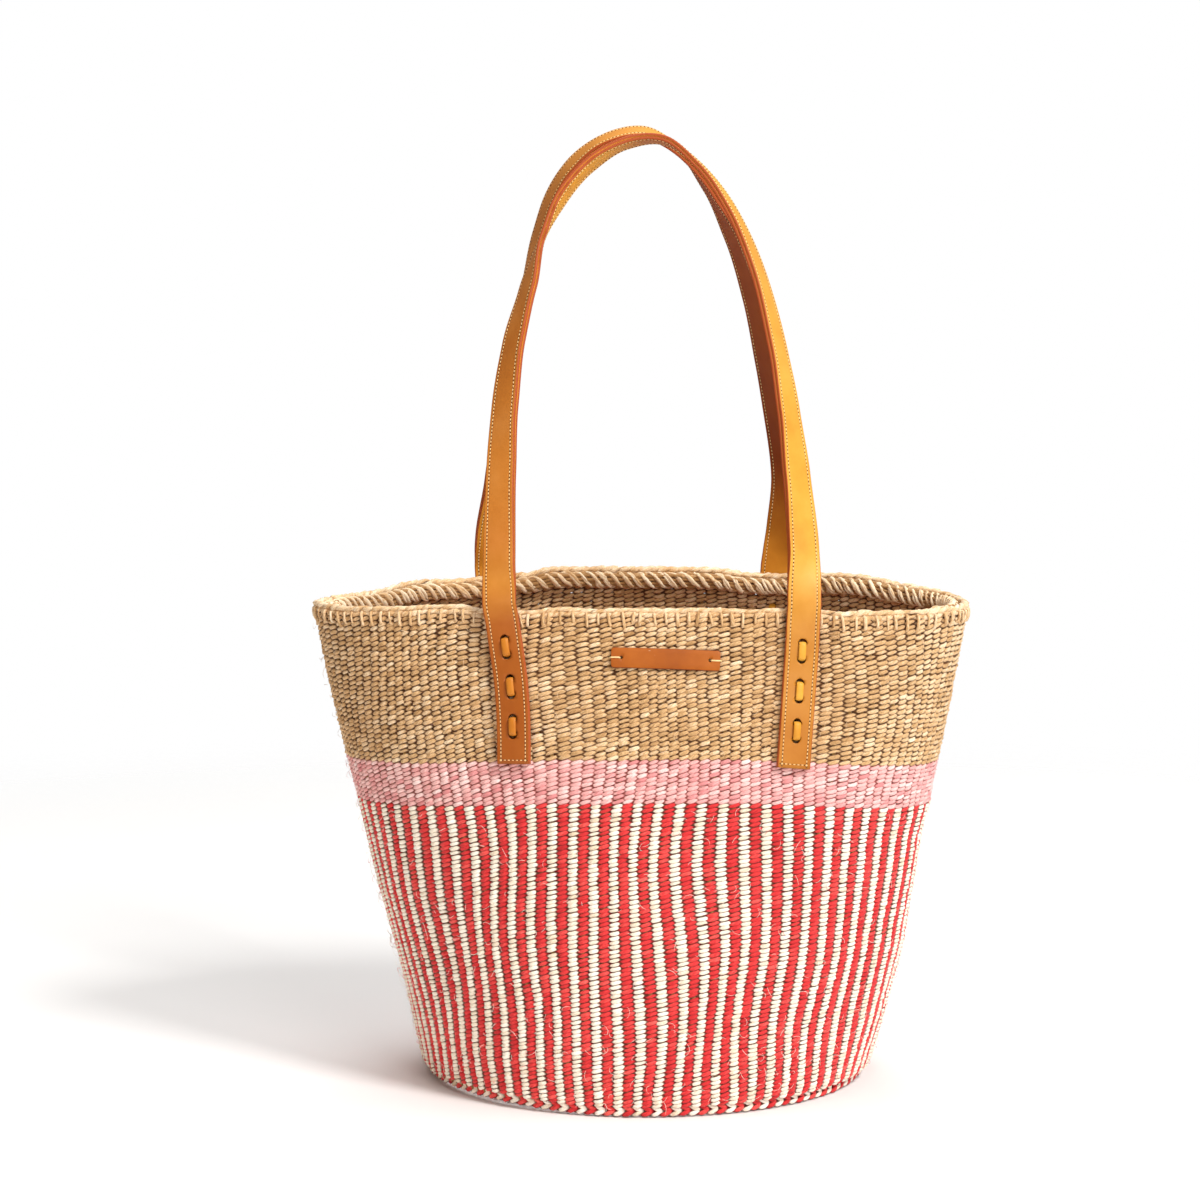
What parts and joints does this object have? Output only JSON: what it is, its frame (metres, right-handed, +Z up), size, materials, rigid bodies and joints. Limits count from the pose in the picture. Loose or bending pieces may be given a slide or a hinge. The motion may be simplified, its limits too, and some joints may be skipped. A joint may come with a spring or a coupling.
{
  "type": "kiondo basket",
  "caption": "Hand-twined sisal tote basket, round base widening to an oval mouth, with two tall leather shoulder handles laced to the wall.",
  "frame": {"origin": "on the floor, under the middle of the whole basket", "axes": "+Z up, -Y is the front, where the label is, +X to the right of someone who faces the front"},
  "size_m": [0.3801, 0.2598, 0.5527],
  "materials": {
    "natural_sisal": "matte twined sisal",
    "pink_sisal": "matte twined sisal, dyed pink",
    "striped_sisal": "matte twined sisal, in upright stripes of red and cream",
    "leather": "vegetable tanned, satin",
    "leather_lining": "vegetable tanned, flesh side, matte",
    "thread": "waxed thread"
  },
  "bodies": {
    "basket": {"woven_base": "striped_sisal", "base_edge_braid": "striped_sisal", "striped_weave_wall": "striped_sisal", "pink_weave_band": "pink_sisal", "natural_weave_band": "natural_sisal", "rim_hem_roll": "natural_sisal", "rim_overcast_stitches": "natural_sisal", "front_left_strap_end_outer": "leather", "front_left_strap_end_lining": "leather_lining", "front_left_lace": "leather", "front_right_strap_end_outer": "leather", "front_right_strap_end_lining": "leather_lining", "front_right_lace": "leather", "back_left_strap_end_outer": "leather", "back_left_strap_end_lining": "leather_lining", "back_left_lace": "leather", "back_right_strap_end_outer": "leather", "back_right_strap_end_lining": "leather_lining", "back_right_lace": "leather", "label_tab": "leather", "label_stitch_left": "thread", "label_stitch_right": "thread"},
    "front_handle": {"front_handle_outer_ply": "leather", "front_handle_lining_ply": "leather_lining"},
    "back_handle": {"back_handle_outer_ply": "leather", "back_handle_lining_ply": "leather_lining"}
  },
  "joints": [
    {"name": "front_handle_fold", "type": "hinge", "parent": "basket", "child": "front_handle", "pos_m": [0.0023, -0.09921, 0.287], "axis": [1, 0, 0], "range_deg": [0, 165]},
    {"name": "back_handle_fold", "type": "hinge", "parent": "basket", "child": "back_handle", "pos_m": [-0.0065, 0.09364, 0.287], "axis": [-1, 0, 0], "range_deg": [0, 165]}
  ]
}
